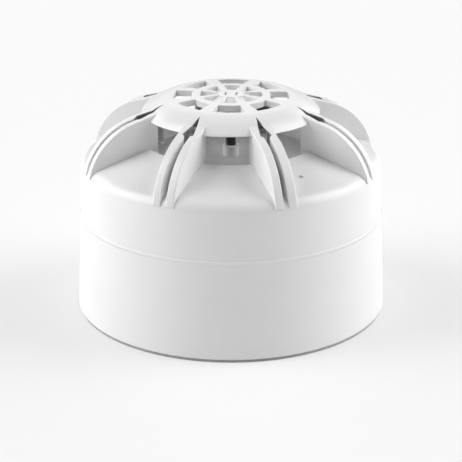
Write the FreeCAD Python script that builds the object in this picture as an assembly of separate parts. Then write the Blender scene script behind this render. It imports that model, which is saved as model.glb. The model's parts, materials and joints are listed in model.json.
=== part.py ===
import FreeCAD, Part
import math
import os

# Heat detector with a twist-off head on a battery-powered radio base.
# Millimetres. Z is the axis of the detector, Z = 0 is the face that meets the wall or ceiling.
# Bearings (degrees) start at -Y, the front bay, and turn towards +X.

# ---- driving dimensions -------------------------------------------------
GASKET_TOP = 1.0
GASKET_R = (47.0, 54.5)
BASE_TOP = 35.05
BASE_FOOT_R = 55.0
BASE_TOP_R = 53.4
WALL = 2.2
BASE_FLOOR = 2.4
LIP_R = (49.9, 50.75)
LIP_TOP = 36.3
SEAM_GAP = 0.3
EDGE = 0.3

COVER_FOOT_R = 53.35
WALL_TOP_R = 52.75
WALL_TOP_Z = 51.1
SHOULDER_R = 4.75
RING_R = 30.7
RING_Z = 61.7
FLOOR_SLOPE = math.radians(18.4)
WELL_R = 30.2
WELL_FOOT_Z = 53.0
WELL_WALL = 1.8
CHAMBER_FLOOR_Z = 54.5

BAYS = 8
PITCH = 360.0 / BAYS
FIN_GAP_HALF = 0.9
FIN_OUT_HALF = 3.8
FIN_INNER_R = 27.8
FIN_EDGE = 0.35
FIN_ROOT = 0.6
SLIT_TIP_R = 24.4
SLIT_WIDE_R = 33.7
SLIT_WIDE_HALF = 2.0
SLIT_NECK_R = 34.8
GROOVE_OPEN_R = 37.0
POCKET_R = (26.6, 33.7)
POCKET_HALF = 2.6
POCKET_ROOF = 0.8
SLIT_NECK_TOP_Z = 71.95

CROWN_TOP_Z = 77.0
HUB_FLAT_R = 4.0
CROWN_SHOULDER = (20.0, 76.3)
CROWN_BEND = (27.5, 74.15)
CROWN_RIM = (31.0, 71.1)
CROWN_SKIN = 2.1
RIM_LAND = 1.3
WINDOW_HALF_DEG = 16.0
WINDOW_RINGS = ((4.7, 10.9), (13.7, 20.2))
HUB_SLOT = (0.6, 3.4, 1.0)
HUB_SLOT_X = 1.9

BEAD_R = 1.6
BEAD_FOOT_Z = 58.5
BEAD_LEN = 8.5
LEAD_R = 0.25
LEAD_X = 0.7
HOLDER_R = 2.75
PRONG_R = (1.7, 2.1)
PRONG_TOP = 63.5

LED_R = 40.9
LED_BEARING = 36.9
LED_PIPE_R = 0.75
LED_BODY_R = 1.5

BOARD_T = 1.6
HEAD_BOARD_Z = 43.0
HEAD_BOARD_R = 45.0
CHASSIS_Z = (37.5, 40.0)
CHASSIS_R = 50.6
NECK_R = (38.3, 41.6)
BOSS_R = 44.4
BOSS_SIZE = 3.0
BOSS_TOP = 55.6
BOSS_BEARINGS = (90.0, 210.0, 330.0)

RING_PLATE_Z = (30.5, 33.0)
RING_PLATE_R = (42.0, 50.2)
LUG_Z = (27.7, 30.2)
LUG_TIP_R = 45.6
LUG_DEG = 16.0
NOTCH_DEG = 20.0
NOTCH_R = 46.1
TWIST_DEG = 20.0
LUG_BEARINGS = (0.0, 120.0, 240.0)
STOP_DEG = (-13.0, -10.0)
PILLAR_R = 47.2
PILLAR_SIZE = 3.0
PILLAR_BEARINGS = (60.0, 180.0, 300.0)

RADIO_BOARD_Z = 6.0
RADIO_BOARD_R = 46.0
STANDOFF_XY = (24.0, 36.0)
FIXING_PCD = 76.0
FIXING_HALF_W = 2.25
FIXING_HALF_L = 5.0
DRIVER_HOLE_R = 4.6

CELL_R = 8.4
CELL_LEN = 34.2
CELL_ROW_Y = 19.5
CELL_AXIS_Z = 18.3
CELL_START_X = 1.2
TRAY_Z = (8.0, 9.4)
TRAY_WIDTH = 16.0
TRAY_LEG_X = 30.0

CARRIER_TOP = 24.0
CARRIER_HALF = (29.0, 7.0)
CONTACT_XS = (-24.0, -8.0, 8.0, 24.0)
CONTACT_TIP_Z = 29.1
STRIP_T = 0.5
BLADE_Z = (29.5, 30.1)
BLADE_SIZE = (5.0, 11.0)

TAMPER_X = 34.0
PLUNGER_R = 1.7
PLUNGER_Z = (10.5, 35.0)
TAMPER_PAD_Z = 35.7
TAMPER_PAD_R = 1.2
RUNNING_FIT = 0.05

SCREW_R = 1.45
SCREW_HEAD_R = 2.6
SCREW_HEAD_H = 1.5
CROSS_DEPTH = 0.7

ORIGIN = FreeCAD.Vector(0, 0, 0)
Z_AXIS = FreeCAD.Vector(0, 0, 1)


# ---- helpers ------------------------------------------------------------
def at(radius, bearing, z=0.0):
    a = math.radians(bearing)
    return FreeCAD.Vector(radius * math.sin(a), -radius * math.cos(a), z)


def rod(radius, z0, z1, centre=ORIGIN):
    return Part.makeCylinder(radius, z1 - z0, FreeCAD.Vector(centre.x, centre.y, z0))


def tube(r_in, r_out, z0, z1, centre=ORIGIN):
    return rod(r_out, z0, z1, centre).cut(rod(r_in, z0 - 1, z1 + 1, centre))


def block(x0, x1, y0, y1, z0, z1):
    return Part.makeBox(x1 - x0, y1 - y0, z1 - z0, FreeCAD.Vector(x0, y0, z0))


def spun(shape, degrees):
    copy = shape.copy()
    copy.rotate(ORIGIN, Z_AXIS, degrees)
    return copy


def facing(shape, bearing):
    """Turn something built along +X so that it points to a bearing."""
    return spun(shape, bearing - 90.0)


def line(a, b):
    return Part.LineSegment(FreeCAD.Vector(a[0], 0, a[1]), FreeCAD.Vector(b[0], 0, b[1])).toShape()


def arc(a, mid, b):
    points = [FreeCAD.Vector(p[0], 0, p[1]) for p in (a, mid, b)]
    return Part.Arc(*points).toShape()


def outline(*edges):
    return Part.Face(Part.Wire(Part.__sortEdges__(list(edges))))


def polygon(*points):
    closed = list(points) + [points[0]]
    return outline(*[line(a, b) for a, b in zip(closed, closed[1:])])


def revolved(face, degrees=360.0):
    return face.revolve(ORIGIN, Z_AXIS, degrees)


def sector(r_in, r_out, half_deg, z0, z1, bearing):
    face = polygon((r_in, z0), (r_out, z0), (r_out, z1), (r_in, z1))
    return facing(spun(revolved(face, 2 * half_deg), -half_deg), bearing)


def plan(points, z0, z1):
    """Prism standing on an outline given in plan."""
    corners = [FreeCAD.Vector(x, y, z0) for x, y in points]
    face = Part.Face(Part.makePolygon(corners + [corners[0]]))
    return face.extrude(FreeCAD.Vector(0, 0, z1 - z0))


def fused(shapes):
    first, rest = shapes[0], shapes[1:]
    return first.fuse(rest).removeSplitter() if rest else first


def save(shape, name):
    shape.exportStep("parts/" + name + ".step")


def screw(z_face, z_tip, centre):
    """Cross-head screw whose head bears on z_face and whose shank runs to z_tip."""
    away = 1 if z_face > z_tip else -1
    z_crown = z_face + away * SCREW_HEAD_H
    shank = rod(SCREW_R, min(z_face, z_tip), max(z_face, z_tip), centre)
    head = rod(SCREW_HEAD_R, min(z_face, z_crown), max(z_face, z_crown), centre)
    low, high = sorted((z_crown, z_crown - away * CROSS_DEPTH))
    cross = block(-1.6, 1.6, -0.35, 0.35, low, high).fuse(block(-0.35, 0.35, -1.6, 1.6, low, high))
    cross.translate(FreeCAD.Vector(centre.x, centre.y, 0))
    return shank.fuse(head).cut(cross)


def band(points, thickness):
    """Flat strip of even thickness that follows points, on their right-hand side."""
    offset = []
    for i, (x, z) in enumerate(points):
        before = points[max(i - 1, 0)]
        after = points[min(i + 1, len(points) - 1)]
        dx, dz = after[0] - before[0], after[1] - before[1]
        size = math.hypot(dx, dz)
        offset.append((x + thickness * dz / size, z - thickness * dx / size))
    return polygon(*(list(points) + offset[::-1]))


# ---- cover --------------------------------------------------------------
def floor_point(radius, below=0.0):
    """Point on the sloping bay floor, or under it by a thickness."""
    slope = math.tan(FLOOR_SLOPE)
    return (radius, RING_Z - slope * (radius - RING_R) - below / math.cos(FLOOR_SLOPE))


def shoulder(inset):
    """Start, middle and end of the rounded shoulder, inset from the outside."""
    radius = SHOULDER_R - inset
    centre_r = WALL_TOP_R - SHOULDER_R
    angles = (math.pi / 2 - FLOOR_SLOPE, math.pi / 4 - FLOOR_SLOPE / 2, 0.0)
    return [(centre_r + radius * math.cos(a), WALL_TOP_Z + radius * math.sin(a)) for a in angles]


def cover_shell():
    start, mid, end = shoulder(0.0)
    in_start, in_mid, in_end = shoulder(WALL)
    foot_z = BASE_TOP + SEAM_GAP
    foot = (COVER_FOOT_R - EDGE, foot_z)
    foot_edge = (COVER_FOOT_R, foot_z + EDGE)
    ring_out = floor_point(RING_R + 2 * EDGE)
    ring_in = (WELL_R, RING_Z - 2 * EDGE)
    well_foot = (WELL_R, WELL_FOOT_Z)
    well_back = (WELL_R + WELL_WALL, WELL_FOOT_Z)
    well_top = floor_point(WELL_R + WELL_WALL, WALL)
    inner_foot = (COVER_FOOT_R - WALL, foot_z)
    return revolved(outline(
        line(foot, foot_edge), line(foot_edge, end), arc(end, mid, start), line(start, ring_out),
        line(ring_out, ring_in), line(ring_in, well_foot), line(well_foot, well_back),
        line(well_back, well_top), line(well_top, in_start), arc(in_start, in_mid, in_end),
        line(in_end, inner_foot), line(inner_foot, foot)))


def crown_shell():
    """Domed cap of even thickness; its middle, out to the hub, is flat."""
    hub, knee, rim = (HUB_FLAT_R, CROWN_TOP_Z), CROWN_SHOULDER, CROWN_RIM
    dome_mid = ((hub[0] + knee[0]) / 2, CROWN_TOP_Z - (CROWN_TOP_Z - knee[1]) / 4)
    land = (rim[0] - RIM_LAND, rim[1])
    under_knee = (knee[0] - 0.3, knee[1] - CROWN_SKIN)
    under_bend = (CROWN_BEND[0] - 1.4, CROWN_BEND[1] - 1.5)
    under_hub = (hub[0], CROWN_TOP_Z - CROWN_SKIN)
    under_mid = (dome_mid[0], dome_mid[1] - CROWN_SKIN)
    return revolved(outline(
        line((0, CROWN_TOP_Z), hub), arc(hub, dome_mid, knee), arc(knee, CROWN_BEND, rim), line(rim, land),
        arc(land, under_bend, under_knee), arc(under_knee, under_mid, under_hub),
        line(under_hub, (0, under_hub[1])), line((0, under_hub[1]), (0, CROWN_TOP_Z))))


def fin_plate():
    """One fin, standing on +X, between the two faces of a plate of the pair."""
    foot = (FIN_INNER_R, CHAMBER_FLOOR_Z)
    head = (FIN_INNER_R, CROWN_BEND[1] - 0.8)
    crest = (SLIT_TIP_R - 3.0, CROWN_SHOULDER[1] - 0.45)
    crest_low = (crest[0], crest[1] - 1.2)
    brow = (37.5, 70.65)
    cheek = (47.9, 63.05)
    end = (WALL_TOP_R - 0.05, 52.9)
    root = floor_point(SHOULDER_R + 40.0, FIN_ROOT)
    well_edge = (WELL_R + 0.4, RING_Z - 1.5)
    well_foot = (WELL_R + 0.4, CHAMBER_FLOOR_Z)
    low_end = (WALL_TOP_R - 1.2, 52.2)
    face = outline(
        line(foot, head), line(head, crest_low), line(crest_low, crest), line(crest, brow),
        arc(brow, cheek, end), line(end, low_end), line(low_end, root), line(root, well_edge),
        line(well_edge, well_foot), line(well_foot, foot))
    plate = face.extrude(FreeCAD.Vector(0, FIN_OUT_HALF - FIN_GAP_HALF, 0))
    plate.translate(FreeCAD.Vector(0, FIN_GAP_HALF, 0))
    outer = [e for e in plate.Edges if e.BoundBox.XMax > brow[0] and e.BoundBox.ZMax > brow[1] - 0.1
             and e.BoundBox.YLength < 0.01 and e.BoundBox.XLength > 5.0 and e.BoundBox.ZMin > 50.0]
    inner_end = [e for e in plate.Edges if e.BoundBox.XLength < 0.01 and e.BoundBox.YLength < 0.01
                 and abs(e.BoundBox.XMax - FIN_INNER_R) < 0.01]
    return plate.makeFillet(FIN_EDGE, outer + inner_end)


def slit():
    """Arrow-headed slit between the plates of a pair, cut through the crown."""
    half = FIN_GAP_HALF
    wide = SLIT_WIDE_HALF
    points = [(SLIT_TIP_R, 0), (SLIT_WIDE_R, wide), (SLIT_NECK_R, half),
              (GROOVE_OPEN_R, half), (GROOVE_OPEN_R, -half), (SLIT_NECK_R, -half),
              (SLIT_WIDE_R, -wide)]
    return plan(points, WELL_FOOT_Z + 2.0, CROWN_TOP_Z + 1.0)


def pocket():
    """Wider hollow under the arrow head, where both plates are thinned to a moulding's wall."""
    inner, outer = POCKET_R
    foot_z = WELL_FOOT_Z + 2.0
    roof_in = CROWN_BEND[1] - POCKET_ROOF
    roof_out = SLIT_NECK_TOP_Z - POCKET_ROOF
    bend = (inner + 1.6, roof_in)
    side = polygon((inner, foot_z), (outer, foot_z), (outer, roof_out), bend, (inner, roof_in))
    hollow = side.extrude(FreeCAD.Vector(0, 2 * POCKET_HALF, 0))
    hollow.translate(FreeCAD.Vector(0, -POCKET_HALF, 0))
    return hollow


def hub_slot(x):
    width, length, depth = HUB_SLOT
    top = CROWN_TOP_Z
    return block(x - width / 2, x + width / 2, -length / 2, length / 2, top - depth, top + 1)


def outer_cover():
    plate = fin_plate()
    mirrored = plate.mirror(ORIGIN, FreeCAD.Vector(0, 1, 0))
    bearings = [PITCH * (i + 0.5) for i in range(BAYS)]
    fins = [facing(side, b) for b in bearings for side in (plate, mirrored)]
    bosses = [rod(BOSS_SIZE, CHASSIS_Z[1], BOSS_TOP, at(BOSS_R, b)) for b in BOSS_BEARINGS]
    body = cover_shell().fuse([crown_shell()] + fins + bosses)
    cuts = [facing(tool, b) for b in bearings for tool in (slit(), pocket())]
    cuts += [hub_slot(x) for x in (-HUB_SLOT_X, HUB_SLOT_X)]
    for r_in, r_out in WINDOW_RINGS:
        for i in range(BAYS):
            cuts.append(sector(r_in, r_out, WINDOW_HALF_DEG, CROWN_TOP_Z - 6, CROWN_TOP_Z + 1, PITCH * i))
    cuts += [rod(SCREW_R, CHASSIS_Z[1] - 1, CHASSIS_Z[1] + 10, at(BOSS_R, b)) for b in BOSS_BEARINGS]
    cuts.append(rod(LED_PIPE_R, 50.0, 62.0, at(LED_R, LED_BEARING)))
    return body.cut(cuts)


# ---- sensing chamber ----------------------------------------------------
def air_guide():
    """White cone under the grille. Its petals rise in the inner windows and shed the air outwards."""
    cone = revolved(polygon((0, 71.5), (2.2, 71.5), (8.4, 73.9), (8.4, 74.35), (4.65, 74.85), (0, 74.85)))
    inner, outer = WINDOW_RINGS[0][0] + 0.05, WINDOW_RINGS[0][1] - 1.1
    petal = polygon((inner, 74.3), (outer, 74.0), (outer, 74.5), (inner, CROWN_TOP_Z - 0.15))
    half = WINDOW_HALF_DEG - 0.5
    petals = [facing(spun(revolved(petal, 2 * half), -half), PITCH * i) for i in range(BAYS)]
    return fused([cone] + petals)


def chamber_plate():
    flange = rod(WELL_R + WELL_WALL + 1.5, WELL_FOOT_Z - 2.0, WELL_FOOT_Z)
    spigot = rod(WELL_R - 0.05, WELL_FOOT_Z, CHAMBER_FLOOR_Z)
    return flange.fuse(spigot).removeSplitter().cut(rod(HOLDER_R + 0.05, 50, 56))


def thermistor_holder():
    board_top = HEAD_BOARD_Z + BOARD_T
    body = rod(HOLDER_R, board_top, BEAD_FOOT_Z)
    foot = rod(HOLDER_R + 1.6, board_top, board_top + 1.6)
    ring = tube(PRONG_R[0], PRONG_R[1], BEAD_FOOT_Z - 0.1, PRONG_TOP)
    prongs = ring.common(block(-3, 3, -0.45, 0.45, BEAD_FOOT_Z - 1, PRONG_TOP + 1))
    holder = fused([body, foot, prongs])
    for side in (-1, 1):
        holder = holder.cut(rod(LEAD_R, 40, 60, FreeCAD.Vector(side * LEAD_X, 0, 0)))
    return holder


def thermistor_bead():
    straight = rod(BEAD_R, BEAD_FOOT_Z, BEAD_FOOT_Z + BEAD_LEN - BEAD_R)
    dome = Part.makeSphere(BEAD_R, FreeCAD.Vector(0, 0, BEAD_FOOT_Z + BEAD_LEN - BEAD_R))
    return straight.fuse(dome).removeSplitter()


def thermistor_leads():
    leads = [rod(LEAD_R, HEAD_BOARD_Z + BOARD_T, BEAD_FOOT_Z, FreeCAD.Vector(s * LEAD_X, 0, 0))
             for s in (-1, 1)]
    return Part.makeCompound(leads)


# ---- head electronics ---------------------------------------------------
def main_board():
    board = rod(HEAD_BOARD_R, HEAD_BOARD_Z, HEAD_BOARD_Z + BOARD_T)
    holes = [rod(BOSS_SIZE + 0.4, 40, 50, at(BOSS_R, b)) for b in BOSS_BEARINGS]
    holes += [block(x - 0.3, x + 0.3, -2.5, 2.5, 40, 50) for x in CONTACT_XS]
    return board.cut(holes)


def microcontroller():
    top = HEAD_BOARD_Z + BOARD_T
    body = block(-5, 5, 12, 22, top + 0.2, top + 1.6)
    pins = [block(x - 0.2, x + 0.2, 10.6, 23.4, top, top + 0.2) for x in (-3.6, -1.2, 1.2, 3.6)]
    return fused([body] + pins)


def capacitors():
    top = HEAD_BOARD_Z + BOARD_T
    cans = [rod(3.15, top, top + 5.4, FreeCAD.Vector(x, 22, 0)) for x in (-17, 17)]
    return Part.makeCompound(cans)


def status_led():
    top = HEAD_BOARD_Z + BOARD_T
    spot = at(LED_R, LED_BEARING)
    body = rod(LED_BODY_R, top, top + 3.4, spot)
    collar = rod(LED_BODY_R + 0.4, top, top + 1.0, spot)
    return fused([body, collar])


def light_pipe():
    spot = at(LED_R, LED_BEARING)
    floor_z = floor_point(LED_R)[1]
    foot = rod(LED_BODY_R, HEAD_BOARD_Z + BOARD_T + 3.4, HEAD_BOARD_Z + BOARD_T + 7.0, spot)
    stem = rod(LED_PIPE_R, HEAD_BOARD_Z + BOARD_T + 3.4, floor_z - 0.55, spot)
    return fused([foot, stem])


# ---- head chassis -------------------------------------------------------
def head_chassis():
    plate = rod(CHASSIS_R, CHASSIS_Z[0], CHASSIS_Z[1])
    neck = tube(NECK_R[0], NECK_R[1], LUG_Z[0], CHASSIS_Z[0])
    lugs = [sector(NECK_R[1] - 1.0, LUG_TIP_R, LUG_DEG / 2, LUG_Z[0], LUG_Z[1], b)
            for b in LUG_BEARINGS]
    posts = [rod(2.6, CHASSIS_Z[1], HEAD_BOARD_Z, at(30, b)) for b in (45, 135, 225, 315)]
    pad = rod(TAMPER_PAD_R, TAMPER_PAD_Z, CHASSIS_Z[0], at(TAMPER_X, 90))
    body = fused([plate, neck] + lugs + posts + [pad])
    cuts = [rod(SCREW_R, 35, 42, at(BOSS_R, b)) for b in BOSS_BEARINGS]
    cuts += [block(x - 0.3, x + 0.3, -2.5, 2.5, 35, 42) for x in CONTACT_XS]
    return body.cut(cuts)


def head_blade(x):
    half = BLADE_SIZE[0] / 2
    blade = block(x - half, x + half, -BLADE_SIZE[1] / 2, BLADE_SIZE[1] / 2, BLADE_Z[0], BLADE_Z[1])
    riser = block(x - 0.3, x + 0.3, -2.5, 2.5, BLADE_Z[1], HEAD_BOARD_Z + BOARD_T + 0.6)
    return blade.fuse(riser).removeSplitter()


def chassis_screws():
    return Part.makeCompound([screw(CHASSIS_Z[0], CHASSIS_Z[1] + 8, at(BOSS_R, b))
                              for b in BOSS_BEARINGS])


# ---- radio base ---------------------------------------------------------
def fixing_slot(z0, z1, bearing):
    """Slot with its long side on the line that joins the two fixings."""
    reach = FIXING_HALF_L - FIXING_HALF_W
    centre = FIXING_PCD / 2
    mid = block(centre - reach, centre + reach, -FIXING_HALF_W, FIXING_HALF_W, z0, z1)
    ends = [rod(FIXING_HALF_W, z0, z1, FreeCAD.Vector(centre + s * reach, 0, 0)) for s in (-1, 1)]
    return facing(fused([mid] + ends), bearing)


def wall_gasket():
    return tube(GASKET_R[0], GASKET_R[1], 0.0, GASKET_TOP)


def base_shell():
    draft = (BASE_FOOT_R - BASE_TOP_R) / (BASE_TOP - GASKET_TOP)
    floor_z = GASKET_TOP + BASE_FLOOR
    inner_foot_r = BASE_FOOT_R - WALL - draft * BASE_FLOOR
    inner_top_r = BASE_TOP_R - WALL
    wall = revolved(polygon(
        (0, GASKET_TOP), (BASE_FOOT_R - EDGE, GASKET_TOP), (BASE_FOOT_R, GASKET_TOP + EDGE),
        (BASE_TOP_R, BASE_TOP - EDGE), (BASE_TOP_R - EDGE, BASE_TOP), (LIP_R[1], BASE_TOP),
        (LIP_R[1], LIP_TOP), (LIP_R[0] + 0.4, LIP_TOP), (LIP_R[0] + 0.4, RING_PLATE_Z[1]),
        (inner_top_r, RING_PLATE_Z[0] - 2.0), (inner_foot_r, floor_z), (0, floor_z)))
    pillars = [rod(PILLAR_SIZE, floor_z, RING_PLATE_Z[0], at(PILLAR_R, b)) for b in PILLAR_BEARINGS]
    ribs = [facing(block(PILLAR_R, inner_top_r + 0.3, -1.2, 1.2, floor_z, RING_PLATE_Z[0] - 2.5), b)
            for b in PILLAR_BEARINGS]
    corners = [(sx * STANDOFF_XY[0], sy * STANDOFF_XY[1]) for sx in (-1, 1) for sy in (-1, 1)]
    standoffs = [rod(2.6, floor_z, RADIO_BOARD_Z, FreeCAD.Vector(x, y, 0)) for x, y in corners]
    body = fused([wall] + pillars + ribs + standoffs)
    cuts = [fixing_slot(0, floor_z + 1, b) for b in (0, 180)]
    cuts += [rod(SCREW_R, RING_PLATE_Z[0] - 10, RING_PLATE_Z[0] + 1, at(PILLAR_R, b))
             for b in PILLAR_BEARINGS]
    return body.cut(cuts)


def bayonet_ring():
    plate = tube(RING_PLATE_R[0], RING_PLATE_R[1], RING_PLATE_Z[0], RING_PLATE_Z[1])
    mid = sum(STOP_DEG) / 2
    half = (STOP_DEG[1] - STOP_DEG[0]) / 2
    stops = [sector(RING_PLATE_R[0], LUG_TIP_R, half, LUG_Z[0] + 0.6, RING_PLATE_Z[0], b + mid)
             for b in LUG_BEARINGS]
    notches = [sector(RING_PLATE_R[0] - 2, NOTCH_R, NOTCH_DEG / 2, 20, 40, b + TWIST_DEG)
               for b in LUG_BEARINGS]
    holes = [rod(SCREW_R, 20, 40, at(PILLAR_R, b)) for b in PILLAR_BEARINGS]
    return fused([plate] + stops).cut(notches + holes)


def ring_screws():
    return Part.makeCompound([screw(RING_PLATE_Z[1], RING_PLATE_Z[0] - 7, at(PILLAR_R, b))
                              for b in PILLAR_BEARINGS])


def radio_board():
    board = rod(RADIO_BOARD_R, RADIO_BOARD_Z, RADIO_BOARD_Z + BOARD_T)
    holes = [rod(PILLAR_SIZE + 0.5, 0, 10, at(PILLAR_R, b)) for b in PILLAR_BEARINGS]
    holes += [rod(DRIVER_HOLE_R, 0, 10, at(FIXING_PCD / 2, b)) for b in (0, 180)]
    holes += [rod(2.1, 0, 10, FreeCAD.Vector(sx * TRAY_LEG_X, sy * CELL_ROW_Y, 0))
              for sx in (-1, 1) for sy in (-1, 1)]
    return board.cut(holes)


def radio_module():
    top = RADIO_BOARD_Z + BOARD_T
    can = block(12, 26, -35, -29, top, top + 2.6)
    rim = block(11.4, 26.6, -35.6, -28.4, top, top + 0.5)
    return fused([can, rim])


def antenna():
    radius, wire_r, z = 49.0, 0.6, 18.0
    ring = Part.makeTorus(radius, wire_r, FreeCAD.Vector(0, 0, z), Z_AXIS, 0, 360, 95)
    start = FreeCAD.Vector(radius, 0, 0)
    drop = rod(wire_r, RADIO_BOARD_Z + 0.2, z, start)
    foot = Part.makeCylinder(wire_r, 4.0, FreeCAD.Vector(radius, 0, RADIO_BOARD_Z + wire_r + 0.2),
                             FreeCAD.Vector(-1, 0, 0))
    foot.translate(FreeCAD.Vector(0, 0, BOARD_T))
    return spun(fused([ring, drop, foot]), 100.0)


def battery_tray():
    plates = []
    for side in (-1, 1):
        y = side * CELL_ROW_Y
        length = CELL_START_X + CELL_LEN + 1.4
        half = TRAY_WIDTH / 2
        bed = block(-length, length, y - half, y + half, TRAY_Z[0], CELL_AXIS_Z - 3.0)
        start = FreeCAD.Vector(1.0 - length, y, CELL_AXIS_Z)
        trough = Part.makeCylinder(CELL_R + 0.1, 2 * (length - 1.0), start, FreeCAD.Vector(1, 0, 0))
        legs = [rod(2.0, GASKET_TOP + BASE_FLOOR, TRAY_Z[0], FreeCAD.Vector(sx * TRAY_LEG_X, y, 0))
                for sx in (-1, 1)]
        plates.append(fused([bed] + legs).cut(trough))
    bridge = block(-4, 4, -CELL_ROW_Y, CELL_ROW_Y, TRAY_Z[0], TRAY_Z[1])
    return fused(plates + [bridge])


def battery_cell(sx, sy):
    start = FreeCAD.Vector(CELL_START_X, sy * CELL_ROW_Y, CELL_AXIS_Z)
    can = Part.makeCylinder(CELL_R, CELL_LEN - 0.9, start, FreeCAD.Vector(1, 0, 0))
    can = can.makeFillet(0.5, [e for e in can.Edges if e.BoundBox.XLength < 0.01])
    stud = Part.makeCylinder(3.0, CELL_LEN, start, FreeCAD.Vector(1, 0, 0))
    cell = fused([can, stud])
    return cell if sx > 0 else cell.mirror(ORIGIN, FreeCAD.Vector(1, 0, 0))


def battery_contacts():
    end_x = CELL_START_X + CELL_LEN
    plates = []
    for side in (-1, 1):
        y = side * CELL_ROW_Y
        for x0, x1 in ((-end_x - 0.4, -end_x), (end_x, end_x + 0.4), (-0.3, 0.3)):
            plates.append(block(x0, x1, y - 5, y + 5, CELL_AXIS_Z - 4.5, CELL_AXIS_Z + 5))
    return Part.makeCompound(plates)


def contact_carrier():
    half_x, half_y = CARRIER_HALF
    top = RADIO_BOARD_Z + BOARD_T
    body = block(-half_x, half_x, -half_y, half_y, TRAY_Z[1], CARRIER_TOP)
    hollow = block(2 - half_x, half_x - 2, 2 - half_y, half_y - 2, 0, CARRIER_TOP - 2)
    legs = [block(sx * 20 - 4, sx * 20 + 4, -half_y, half_y, top, TRAY_Z[1]) for sx in (-1, 1)]
    guide_base = rod(3.4, top + 6.2, CARRIER_TOP, FreeCAD.Vector(TAMPER_X, 0, 0))
    web = block(half_x - 1, TAMPER_X, -1.5, 1.5, top + 6.2, CARRIER_TOP)
    body = fused([body] + legs + [guide_base, web]).cut(hollow)
    return body.cut(rod(PLUNGER_R + RUNNING_FIT, 0, 40, FreeCAD.Vector(TAMPER_X, 0, 0)))


def base_contact(x):
    """Leaf spring: a flat foot on the carrier, folded back into a bowed arm."""
    foot_z, tip_z = CARRIER_TOP + STRIP_T, CONTACT_TIP_Z
    path = [(5.5, foot_z), (-4.5, foot_z), (-5.6, foot_z + 0.6), (-5.9, foot_z + 1.8), (-5.0, foot_z + 2.9),
            (-2.4, tip_z - 0.7), (0.0, tip_z - STRIP_T), (2.4, tip_z - 0.8), (4.6, tip_z - 2.4)]
    strip = band(path[::-1], STRIP_T).extrude(FreeCAD.Vector(0, 4.0, 0))
    strip.translate(FreeCAD.Vector(0, -2.0, 0))
    return spun(strip, 90.0).translated(FreeCAD.Vector(x, 0, 0))


def tamper_switch():
    top = RADIO_BOARD_Z + BOARD_T
    body = block(TAMPER_X - 3.5, TAMPER_X + 3.5, -3.5, 3.5, top, top + 6.0)
    bore = rod(PLUNGER_R + RUNNING_FIT, PLUNGER_Z[0] - 0.8, 20, FreeCAD.Vector(TAMPER_X, 0, 0))
    return body.cut(bore)


def tamper_plunger():
    pin = rod(PLUNGER_R, PLUNGER_Z[0], PLUNGER_Z[1], FreeCAD.Vector(TAMPER_X, 0, 0))
    return pin.makeChamfer(0.4, [e for e in pin.Edges if e.BoundBox.ZLength < 0.01])


def main():
    os.makedirs("parts", exist_ok=True)
    save(outer_cover(), "outer_cover")
    save(air_guide(), "air_guide")
    save(chamber_plate(), "chamber_plate")
    save(thermistor_holder(), "thermistor_holder")
    save(thermistor_bead(), "thermistor_bead")
    save(thermistor_leads(), "thermistor_leads")
    save(main_board(), "main_board")
    save(microcontroller(), "microcontroller")
    save(capacitors(), "capacitors")
    save(status_led(), "status_led")
    save(light_pipe(), "light_pipe")
    save(head_chassis(), "head_chassis")
    save(chassis_screws(), "chassis_screws")
    save(wall_gasket(), "wall_gasket")
    save(base_shell(), "base_shell")
    save(bayonet_ring(), "bayonet_ring")
    save(ring_screws(), "ring_screws")
    save(radio_board(), "radio_board")
    save(radio_module(), "radio_module")
    save(antenna(), "antenna")
    save(battery_tray(), "battery_tray")
    save(battery_contacts(), "battery_contacts")
    save(contact_carrier(), "contact_carrier")
    save(tamper_switch(), "tamper_switch")
    save(tamper_plunger(), "tamper_plunger")
    for number, x in enumerate(CONTACT_XS, 1):
        save(head_blade(x), "head_blade_%d" % number)
        save(base_contact(x), "base_contact_%d" % number)
    for number, (sx, sy) in enumerate(((1, 1), (-1, 1), (-1, -1), (1, -1)), 1):
        save(battery_cell(sx, sy), "battery_cell_%d" % number)


main()
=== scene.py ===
import json
import math

import bmesh
import bpy
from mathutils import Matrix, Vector


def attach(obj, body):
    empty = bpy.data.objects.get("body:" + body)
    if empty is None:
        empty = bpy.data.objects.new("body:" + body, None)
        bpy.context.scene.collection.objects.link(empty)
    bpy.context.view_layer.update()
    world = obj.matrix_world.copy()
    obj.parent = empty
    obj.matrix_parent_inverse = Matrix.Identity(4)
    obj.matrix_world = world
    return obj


# Heat detector on a pale studio floor. Metres; Z is the detector's axis, -Y its front bay.

MM = 0.001
BAYS = 8

# Surfaces: share of the noise that shows as blotches, how far a rounded edge turns before it wears, the
# scale and share of the noise that breaks the wear up, its strength, and how much it dulls the gloss.
BLOTCH_SPAN = (0.3, 0.7)
BLOTCH_SCALE = 60.0
EDGE_TURN = (0.995, 0.90)
WEAR_SCALE = 420.0
WEAR_SPAN = (0.35, 0.7)
WEAR_STRENGTH = 0.35
WEAR_DULLING = 0.08
COVER_WHITE = ((0.846, 0.846, 0.846), (0.856, 0.856, 0.856))

# Seam lip on the rim of the base: radius and height of each corner, millimetres.
SEAM_LIP = ((50.9, 34.4), (53.43, 34.4), (53.47, 34.9), (53.5, 35.35), (53.49, 35.5),
            (53.47, 35.65), (53.43, 35.8), (53.4, 35.86), (53.39, 35.31), (50.9, 35.31))
# Heights over which the lip's top edge fades into its painted highlight, millimetres.
LIP_HIGHLIGHT_Z = (35.15, 35.4)

# Slits under the crown: where their upright walls carry painted shade, millimetres.
SLIT_INNER_R = (23.5, 25.0)
SLIT_OUTER_R = (35.2, 34.6)
SLIT_HALF = (2.8, 2.7)
SLIT_FOOT_Z = (60.0, 61.0)

# Battery cells: where the silver band fades in and out and the bare end starts, millimetres along X.
BAND_INNER = (26.0, 26.4)
BAND_OUTER = (31.4, 31.0)
BARE_END = (34.3, 34.5)

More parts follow.
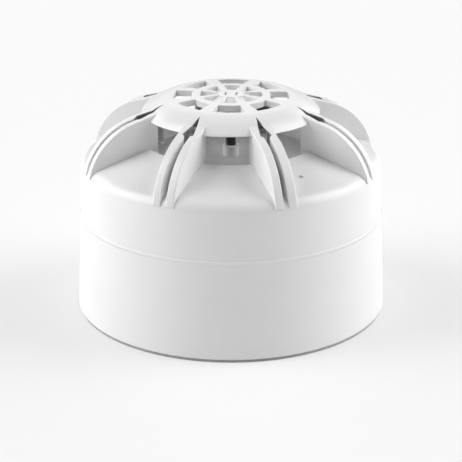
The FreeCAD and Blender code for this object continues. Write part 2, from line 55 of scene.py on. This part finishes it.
# Floor: half size in metres, paper tone and the glow that keeps it white.
FLOOR_HALF = 12.0
FLOOR_TONE = 0.45
FLOOR_GLOW = 0.455

# Soft boxes: bearings either side of the light's centre line and heights above the horizon, in degrees,
# and brightness. The edges fade over SKY_EDGE each way, and SKY_TURN swings the centre line towards +X.
SKY = (
    (45, 70, 15, 60, 1.05),
    (70, 115, 0, 15, 1.8), (70, 115, 15, 60, 4.6),
    (115, 150, 0, 15, 1.9), (115, 150, 15, 35, 2.6),
    (150, 180, 10, 35, 0.8),
)
SKY_EDGE = 6.0
SKY_TURN = 6.5

# Camera: lens and sensor width, then place and aim, all in millimetres.
LENS = 127.8
SENSOR = 36.0
CAMERA_AT = Vector((23.3, -547.3, 238.2))
CAMERA_AIM = Vector((0.0, 0.0, 25.86))


# ---- node helpers ---------------------------------------------------------
class Tree:
    """Adds nodes to a material or world and links them."""

    def __init__(self, owner):
        owner.use_nodes = True
        self.tree = owner.node_tree
        self.tree.nodes.clear()

    def add(self, kind, inputs=None, **props):
        node = self.tree.nodes.new(kind)
        for key, value in props.items():
            setattr(node, key, value)
        for key, value in (inputs or {}).items():
            self.feed(node.inputs[key], value)
        return node

    def feed(self, socket, value):
        """Link another node's output into a socket, or set a plain value on it."""
        if isinstance(value, bpy.types.NodeSocket):
            self.tree.links.new(value, socket)
        else:
            socket.default_value = value

    def maths(self, operation, *values):
        node = self.add("ShaderNodeMath", operation=operation)
        for i, value in enumerate(values):
            self.feed(node.inputs[i], value)
        return node.outputs[0]

    def noise(self, where, scale, detail=3.0, rough=0.5):
        node = self.add("ShaderNodeTexNoise", {"Vector": where, "Scale": scale, "Detail": detail,
                                               "Roughness": rough})
        return node.outputs["Fac"]

    def span(self, value, low, high, out_low=0.0, out_high=1.0):
        """Smooth step from out_low to out_high while value runs from low to high."""
        node = self.add("ShaderNodeMapRange", {"Value": value, "From Min": low, "From Max": high,
                                               "To Min": out_low, "To Max": out_high},
                        interpolation_type="SMOOTHSTEP")
        return node.outputs["Result"]

    def ramp_mm(self, value, ends):
        """0 to 1 between two lengths in millimetres, the first of which reads 0."""
        return self.span(value, ends[0] * MM, ends[1] * MM)

    def mix(self, factor, a, b):
        node = self.add("ShaderNodeMix", {"Factor": factor}, data_type="RGBA")
        for socket, value in ((node.inputs[6], a), (node.inputs[7], b)):
            self.feed(socket, (*value, 1.0) if isinstance(value, tuple) else value)
        return node.outputs[2]


def surface(name, tone, worn, rough, grain=900.0, grain_depth=0.004, edge=0.25, metallic=0.0,
            specular=0.5, rough_spread=0.05, clear=0.0, layers=None):
    """A moulded, painted or metal surface: two tones in soft blotches, paler worn edges, a fine grain
    and rounded edges. grain is in cells per metre, its depth and the edge radius are in millimetres."""
    material = bpy.data.materials.new(name)
    t = Tree(material)
    where = t.add("ShaderNodeTexCoord").outputs["Object"]
    flat = t.add("ShaderNodeNewGeometry").outputs["Normal"]
    soft = t.add("ShaderNodeBevel", {"Radius": edge * MM}, samples=6).outputs["Normal"]
    turn = t.add("ShaderNodeVectorMath", {0: flat, 1: soft}, operation="DOT_PRODUCT").outputs["Value"]
    broken = t.span(t.noise(where, WEAR_SCALE), *WEAR_SPAN)
    rubbed = t.maths("MULTIPLY", t.span(turn, *EDGE_TURN), broken)
    patches = t.noise(where, BLOTCH_SCALE, 4.0)
    colour = t.mix(t.span(patches, *BLOTCH_SPAN), tone[0], tone[1])
    if layers:
        colour = layers(t, where, colour)
    colour = t.mix(t.maths("MULTIPLY", rubbed, WEAR_STRENGTH), colour, worn)
    fine = t.noise(where, grain, 2.0)
    gloss = t.span(patches, *BLOTCH_SPAN, rough - rough_spread, rough + rough_spread)
    bump = t.add("ShaderNodeBump", {"Height": fine, "Strength": 1.0, "Distance": grain_depth * MM,
                                    "Normal": soft})
    shader = t.add("ShaderNodeBsdfPrincipled", {
        "Base Color": colour,
        "Roughness": t.maths("ADD", gloss, t.maths("MULTIPLY", rubbed, WEAR_DULLING)),
        "Normal": bump.outputs["Normal"],
        "Metallic": metallic,
        "Specular IOR Level": specular,
        "Transmission Weight": clear})
    t.add("ShaderNodeOutputMaterial", {"Surface": shader.outputs["BSDF"]})
    return material


# ---- colour layers --------------------------------------------------------
def copper_tracks(t, where, colour):
    """Paler green lines where copper tracks lie under the mask."""
    bricks = t.add("ShaderNodeTexBrick", {"Vector": where, "Scale": 260.0, "Mortar Size": 0.035,
                                          "Color1": (0, 0, 0, 1), "Color2": (0, 0, 0, 1),
                                          "Mortar": (1, 1, 1, 1)})
    return t.mix(t.maths("MULTIPLY", bricks.outputs["Color"], 0.6), colour, (0.10, 0.36, 0.17))


def cell_sleeve(t, where, colour):
    """Plain sleeve with a silver band near its outer end and a bare steel cap there."""
    x = t.add("ShaderNodeSeparateXYZ", {"Vector": where}).outputs["X"]
    along = t.maths("ABSOLUTE", x)
    band = t.maths("MULTIPLY", t.ramp_mm(along, BAND_INNER), t.ramp_mm(along, BAND_OUTER))
    colour = t.mix(band, colour, (0.62, 0.63, 0.65))
    return t.mix(t.ramp_mm(along, BARE_END), colour, (0.66, 0.66, 0.65))


def foam_cells(t, where, colour):
    """Darker pits where the foam's cells are cut open."""
    cells = t.add("ShaderNodeTexVoronoi", {"Vector": where, "Scale": 1400.0}).outputs["Distance"]
    return t.mix(t.span(cells, 0.1, 0.6), (0.28, 0.28, 0.285), colour)


def slit_painted_shade(t, where, colour):
    """Painted shade on the upright walls inside the slits between paired fins: dark grey standing in for
    their shadow.
    """
    part = t.add("ShaderNodeSeparateXYZ", {"Vector": where})
    x, y, z = part.outputs[0], part.outputs[1], part.outputs[2]
    radius = t.maths("SQRT", t.maths("ADD", t.maths("MULTIPLY", x, x), t.maths("MULTIPLY", y, y)))
    pitch = 2 * math.pi / BAYS
    swing = t.maths("SUBTRACT", t.maths("ARCTAN2", y, x), pitch / 2)
    swing = t.maths("WRAP", swing, pitch / 2, -pitch / 2)
    aside = t.maths("ABSOLUTE", t.maths("MULTIPLY", radius, t.maths("SINE", swing)))
    normal = t.add("ShaderNodeNewGeometry").outputs["True Normal"]
    tilt = t.maths("ABSOLUTE", t.add("ShaderNodeSeparateXYZ", {"Vector": normal}).outputs[2])
    slit_shade = t.span(tilt, 0.35, 0.25)
    limits = ((radius, SLIT_INNER_R), (radius, SLIT_OUTER_R), (aside, SLIT_HALF), (z, SLIT_FOOT_Z))
    for value, ends in limits:
        slit_shade = t.maths("MULTIPLY", slit_shade, t.ramp_mm(value, ends))
    # Painted shade: the slit walls are mixed towards dark grey where they fall in shadow.
    return t.mix(t.maths("MULTIPLY", slit_shade, 0.9), colour, (0.27, 0.27, 0.27))


def lip_painted_highlight(t, where, colour):
    """Paler top edge of the seam lip: a painted highlight for the light along the seam."""
    z = t.add("ShaderNodeSeparateXYZ", {"Vector": where}).outputs["Z"]
    # Painted highlight: near-white from this height up the lip.
    return t.mix(t.ramp_mm(z, LIP_HIGHLIGHT_Z), colour, (0.93, 0.93, 0.93))


# ---- finishes -------------------------------------------------------------
def plastics():
    """White, grey and black mouldings and the red plunger, by material slot."""
    return {
        # Cover white, with painted shade on the walls inside the slits.
        "cover_plastic": surface(
            "cover_plastic_look", COVER_WHITE, (0.90, 0.90, 0.90), 0.26, grain=2600.0, grain_depth=0.0012,
            edge=0.35, rough_spread=0.012, layers=slit_painted_shade),
        "chamber_white": surface(
            "chamber_white_look", ((0.86, 0.86, 0.855), (0.88, 0.88, 0.875)), (0.90, 0.90, 0.90), 0.35,
            grain=3000.0, edge=0.2),
        "chamber_grey": surface(
            "chamber_grey_look", ((0.48, 0.48, 0.485), (0.51, 0.51, 0.515)), (0.60, 0.60, 0.60), 0.42,
            grain=2400.0, grain_depth=0.001, edge=0.2, specular=0.3),
        "chassis_plastic": surface(
            "chassis_plastic_look", ((0.72, 0.72, 0.71), (0.76, 0.76, 0.75)), (0.84, 0.84, 0.83), 0.5,
            grain=2000.0),
        "tray_black": surface(
            "tray_black_look", ((0.035, 0.035, 0.037), (0.055, 0.055, 0.058)), (0.13, 0.13, 0.13), 0.5,
            grain=2200.0, grain_depth=0.006, edge=0.3),
        "plunger_red": surface(
            "plunger_red_look", ((0.52, 0.035, 0.025), (0.60, 0.05, 0.035)), (0.75, 0.25, 0.2), 0.35,
            edge=0.3),
    }


def seam_plastic():
    """Cover white with a painted highlight on the top edge of the seam lip."""
    return surface("seam_plastic_look", COVER_WHITE, (0.90, 0.90, 0.90), 0.26, grain=2600.0,
                   grain_depth=0.0012, edge=0.04, rough_spread=0.012, layers=lip_painted_highlight)


def metals():
    """Wires, screws, cans and contacts, by material slot."""
    return {
        "tinned_wire": surface(
            "tinned_wire_look", ((0.60, 0.60, 0.58), (0.72, 0.72, 0.70)), (0.85, 0.84, 0.82), 0.3,
            metallic=1.0, edge=0.05),
        "screw_steel": surface(
            "screw_steel_look", ((0.52, 0.53, 0.55), (0.66, 0.66, 0.67)), (0.86, 0.86, 0.85), 0.33,
            metallic=1.0, edge=0.2),
        "shield_can": surface(
            "shield_can_look", ((0.60, 0.60, 0.61), (0.70, 0.70, 0.71)), (0.9, 0.9, 0.9), 0.32,
            metallic=1.0, grain=600.0, edge=0.3),
        "capacitor_can": surface(
            "capacitor_can_look", ((0.62, 0.63, 0.65), (0.72, 0.73, 0.75)), (0.88, 0.88, 0.88), 0.3,
            metallic=1.0, edge=0.3),
        "contact_nickel": surface(
            "contact_nickel_look", ((0.62, 0.60, 0.55), (0.74, 0.72, 0.67)), (0.9, 0.88, 0.84), 0.28,
            metallic=1.0, edge=0.1),
        "contact_brass": surface(
            "contact_brass_look", ((0.66, 0.47, 0.18), (0.78, 0.58, 0.26)), (0.9, 0.76, 0.45), 0.3,
            metallic=1.0, edge=0.15),
    }


def electronics():
    """Boards, chips, sensor, indicator and cells, by material slot."""
    return {
        "sensor_black": surface(
            "sensor_black_look", ((0.018, 0.018, 0.019), (0.03, 0.03, 0.03)), (0.08, 0.08, 0.08), 0.3,
            grain=1800.0, grain_depth=0.01, edge=0.3),
        "board_green": surface(
            "board_green_look", ((0.030, 0.20, 0.085), (0.040, 0.24, 0.10)), (0.45, 0.40, 0.22), 0.32,
            edge=0.15, layers=copper_tracks),
        "chip_black": surface(
            "chip_black_look", ((0.028, 0.028, 0.03), (0.045, 0.045, 0.05)), (0.12, 0.12, 0.12), 0.55,
            grain=4000.0, edge=0.15),
        "led_clear": surface(
            "led_clear_look", ((0.62, 0.16, 0.14), (0.70, 0.20, 0.17)), (0.85, 0.5, 0.48), 0.12, edge=0.2),
        "light_pipe_acrylic": surface(
            "light_pipe_look", ((0.82, 0.84, 0.85), (0.88, 0.90, 0.91)), (0.9, 0.9, 0.9), 0.12,
            clear=0.6, edge=0.1),
        "cell_wrap": surface(
            "cell_wrap_look", ((0.045, 0.12, 0.30), (0.06, 0.15, 0.36)), (0.25, 0.32, 0.45), 0.3,
            edge=0.3, layers=cell_sleeve),
    }


def rubbers():
    """Foam ring against the wall, by material slot."""
    return {
        "gasket_rubber": surface(
            "gasket_rubber_look", ((0.36, 0.36, 0.365), (0.42, 0.42, 0.425)), (0.48, 0.48, 0.48), 0.8,
            grain=1400.0, grain_depth=0.05, edge=0.3, layers=foam_cells),
    }


# ---- added pieces ---------------------------------------------------------
def turned_ring(name, profile, steps=180):
    """Ring turned about Z from a closed profile of (radius, height) in millimetres."""
    mesh = bmesh.new()
    rings = []
    for i in range(steps):
        across, along = math.cos(2 * math.pi * i / steps) * MM, math.sin(2 * math.pi * i / steps) * MM
        rings.append([mesh.verts.new((r * across, r * along, z * MM)) for r, z in profile])
    for i in range(steps):
        near, far = rings[i], rings[(i + 1) % steps]
        for j in range(len(profile)):
            k = (j + 1) % len(profile)
            mesh.faces.new((near[j], far[j], far[k], near[k]))
    bmesh.ops.recalc_face_normals(mesh, faces=mesh.faces)
    data = bpy.data.meshes.new(name)
    mesh.to_mesh(data)
    mesh.free()
    for face in data.polygons:
        face.use_smooth = True
    piece = bpy.data.objects.new(name, data)
    bpy.context.scene.collection.objects.link(piece)
    return piece


def seam_bead():
    """Slim rounded lip on the rim of the base, just outside the foot of the cover; it hides the seam."""
    bead = turned_ring("seam_bead", SEAM_LIP)
    # The lip's material carries a painted highlight along its top edge.
    bead.data.materials.append(seam_plastic())
    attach(bead, "base")


# ---- stage ----------------------------------------------------------------
def studio_floor():
    """Broad white paper that glows a little, so that it stays white in the shade."""
    corners = [(x * FLOOR_HALF, y * FLOOR_HALF, 0) for x, y in ((-1, -1), (1, -1), (1, 1), (-1, 1))]
    mesh = bpy.data.meshes.new("studio_floor")
    mesh.from_pydata(corners, [], [(0, 1, 2, 3)])
    floor = bpy.data.objects.new("studio_floor", mesh)
    bpy.context.scene.collection.objects.link(floor)
    material = bpy.data.materials.new("studio_floor_look")
    t = Tree(material)
    paper = t.add("ShaderNodeBsdfDiffuse", {"Color": (FLOOR_TONE, FLOOR_TONE, FLOOR_TONE, 1.0)})
    lit = t.add("ShaderNodeEmission", {"Color": (1.0, 1.0, 1.0, 1.0), "Strength": FLOOR_GLOW})
    both = t.add("ShaderNodeAddShader", {0: paper.outputs["BSDF"], 1: lit.outputs["Emission"]})
    t.add("ShaderNodeOutputMaterial", {"Surface": both.outputs["Shader"]})
    mesh.materials.append(material)


def between(t, angle, low, high, full):
    """1 while an angle lies between low and high degrees, fading at the ends; 0 and full stay open."""
    edge = math.radians(SKY_EDGE)
    shares = []
    if low > 0:
        shares.append(t.span(angle, math.radians(low) - edge, math.radians(low) + edge))
    if high < full:
        shares.append(t.span(angle, math.radians(high) - edge, math.radians(high) + edge, 1.0, 0.0))
    return t.maths("MULTIPLY", *shares) if len(shares) == 2 else shares[0]


def studio_light():
    """Soft boxes at both sides and dimmer ones behind; nothing straight in front or overhead."""
    world = bpy.data.worlds.new("studio_light")
    bpy.context.scene.world = world
    t = Tree(world)
    part = t.add("ShaderNodeSeparateXYZ", {"Vector": t.add("ShaderNodeTexCoord").outputs["Generated"]})
    x, y, z = part.outputs[0], part.outputs[1], part.outputs[2]
    bearing = t.maths("ARCTAN2", x, t.maths("MULTIPLY", y, -1.0))
    swung = t.maths("SUBTRACT", bearing, math.radians(SKY_TURN))
    turn = t.maths("ABSOLUTE", t.maths("WRAP", swung, math.pi, -math.pi))
    rise = t.maths("ARCSINE", z)
    level = 0.0
    for turn_low, turn_high, rise_low, rise_high, strength in SKY:
        across = between(t, turn, turn_low, turn_high, 180)
        up = between(t, rise, rise_low, rise_high, 90)
        level = t.maths("MULTIPLY_ADD", t.maths("MULTIPLY", across, up), strength, level)
    glow = t.add("ShaderNodeBackground", {"Color": (1.0, 1.0, 1.0, 1.0), "Strength": level})
    t.add("ShaderNodeOutputWorld", {"Surface": glow.outputs["Background"]})


def studio_camera():
    data = bpy.data.cameras.new("studio_camera")
    data.lens = LENS
    data.sensor_width = SENSOR
    data.clip_start, data.clip_end = 0.01, 100.0
    camera = bpy.data.objects.new("studio_camera", data)
    bpy.context.scene.collection.objects.link(camera)
    camera.location = CAMERA_AT * MM
    aim = CAMERA_AIM * MM - camera.location
    camera.rotation_mode = "QUATERNION"
    camera.rotation_quaternion = aim.to_track_quat("-Z", "Y")
    bpy.context.scene.camera = camera


# ---- build ----------------------------------------------------------------
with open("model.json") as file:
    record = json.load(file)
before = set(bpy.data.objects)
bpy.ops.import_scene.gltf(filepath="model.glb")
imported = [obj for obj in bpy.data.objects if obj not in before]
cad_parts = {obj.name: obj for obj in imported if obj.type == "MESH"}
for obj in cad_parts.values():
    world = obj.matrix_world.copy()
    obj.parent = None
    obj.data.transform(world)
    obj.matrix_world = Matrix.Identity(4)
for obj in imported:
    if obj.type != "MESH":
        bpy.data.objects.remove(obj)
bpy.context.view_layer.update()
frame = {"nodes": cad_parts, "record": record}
slot_of = {s["node"]: s["material_slot"] for s in frame["record"]["subparts"]}
looks = plastics() | metals() | electronics() | rubbers()
for node, piece in frame["nodes"].items():
    piece.data.materials.clear()
    piece.data.materials.append(looks[slot_of[node]])

seam_bead()
studio_floor()
studio_light()
studio_camera()
bpy.context.scene.view_settings.view_transform = "Standard"
bpy.context.view_layer.update()
